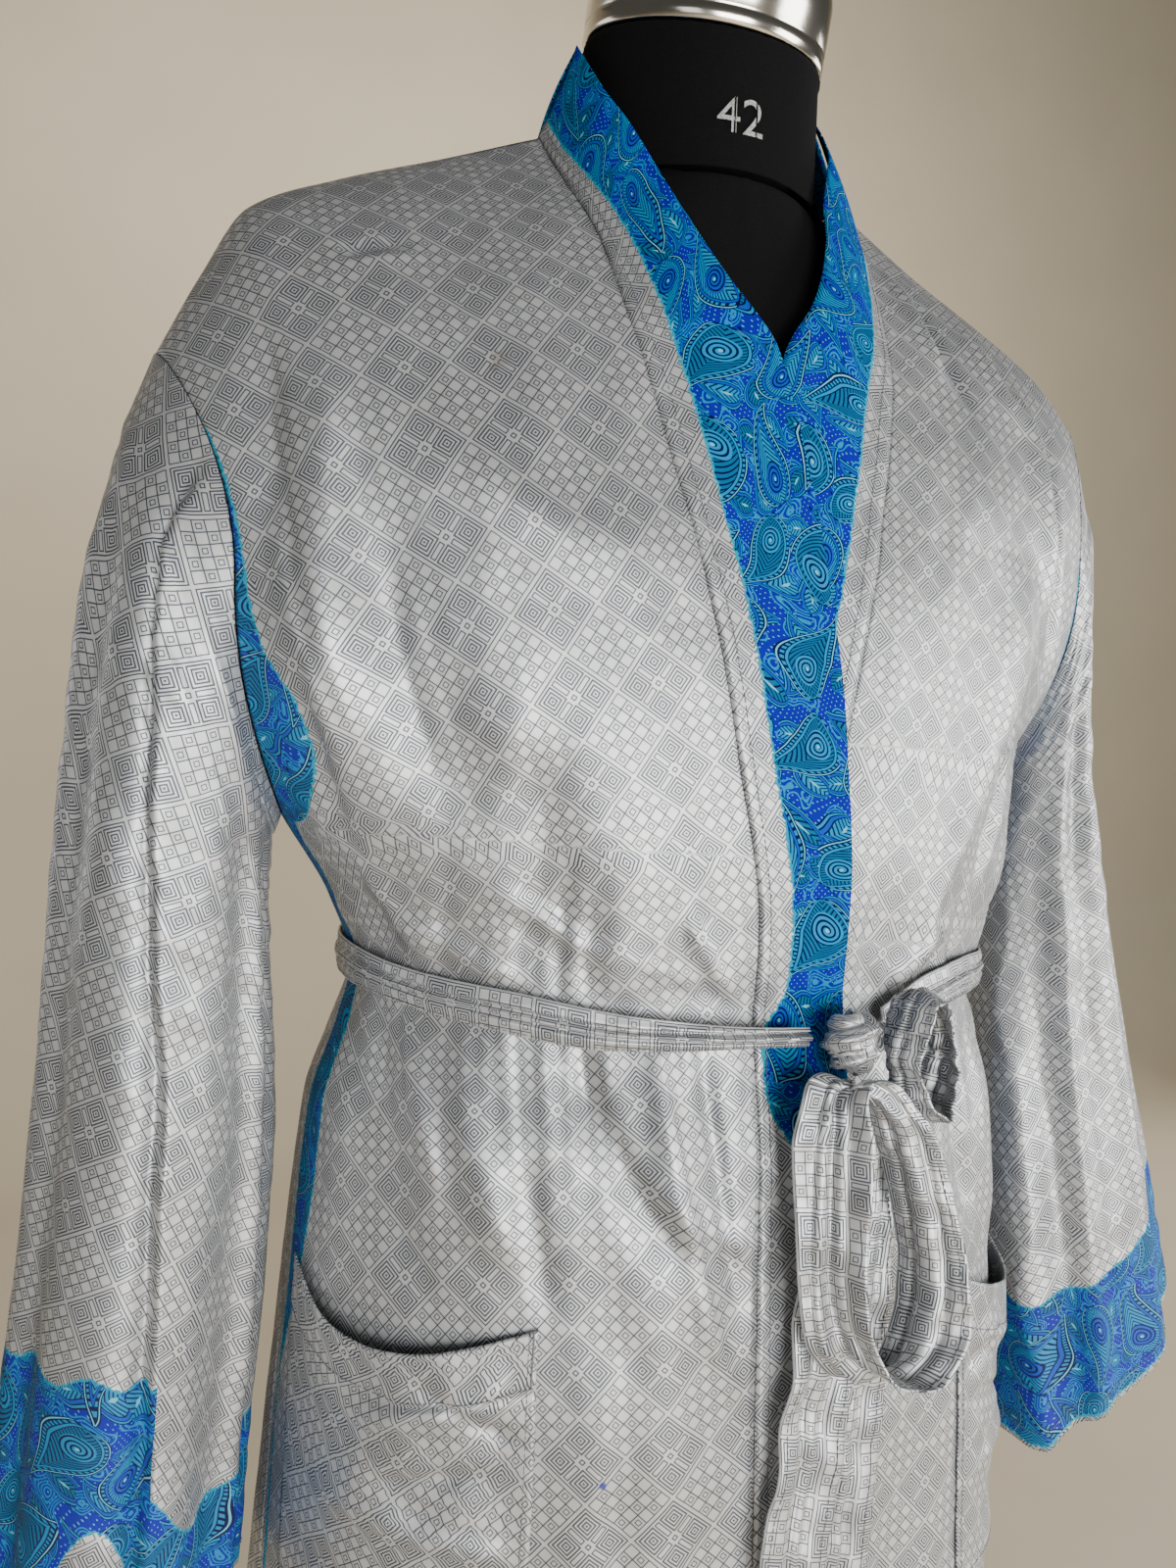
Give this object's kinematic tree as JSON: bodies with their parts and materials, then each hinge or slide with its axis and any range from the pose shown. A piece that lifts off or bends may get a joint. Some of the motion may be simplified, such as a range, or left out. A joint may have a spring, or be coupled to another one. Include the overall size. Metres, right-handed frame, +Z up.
{
  "type": "kimono robe on dress form",
  "caption": "Belted wrap robe of printed silk with wide straight sleeves, border bands and patch pockets, on a limbless covered dress form with a round stand base.",
  "frame": {"origin": "centre of the stand base's underside", "axes": "+Z up along the stand's pole, -Y out of the robe's front, -X towards the wearer's right"},
  "size_m": [0.744, 0.383, 1.5794],
  "materials": {
    "silver_silk": "silver-grey satin-woven silk with a fine geometric lattice print",
    "border_silk": "blue and teal paisley printed silk",
    "stretch_cover": "black matt stretch knit",
    "neck_cap": "polished metal with a warm tone",
    "stand": "black satin"
  },
  "bodies": {
    "root": {"front_right": "silver_silk", "front_left": "silver_silk", "back": "silver_silk", "collar_band_right": "border_silk", "collar_band_left": "border_silk", "collar_band_back": "border_silk", "sleeve_right": "silver_silk", "sleeve_left": "silver_silk", "pocket_right": "silver_silk", "pocket_left": "silver_silk", "belt_waist": "silver_silk", "belt_knot": "silver_silk", "belt_loop_large": "silver_silk", "belt_loop_small": "silver_silk", "belt_tail_right": "silver_silk", "belt_tail_left": "silver_silk", "form_torso": "stretch_cover", "form_neck": "stretch_cover", "neck_cap": "neck_cap", "stand_pole": "stand", "stand_base": "stand"}
  },
  "joints": []
}
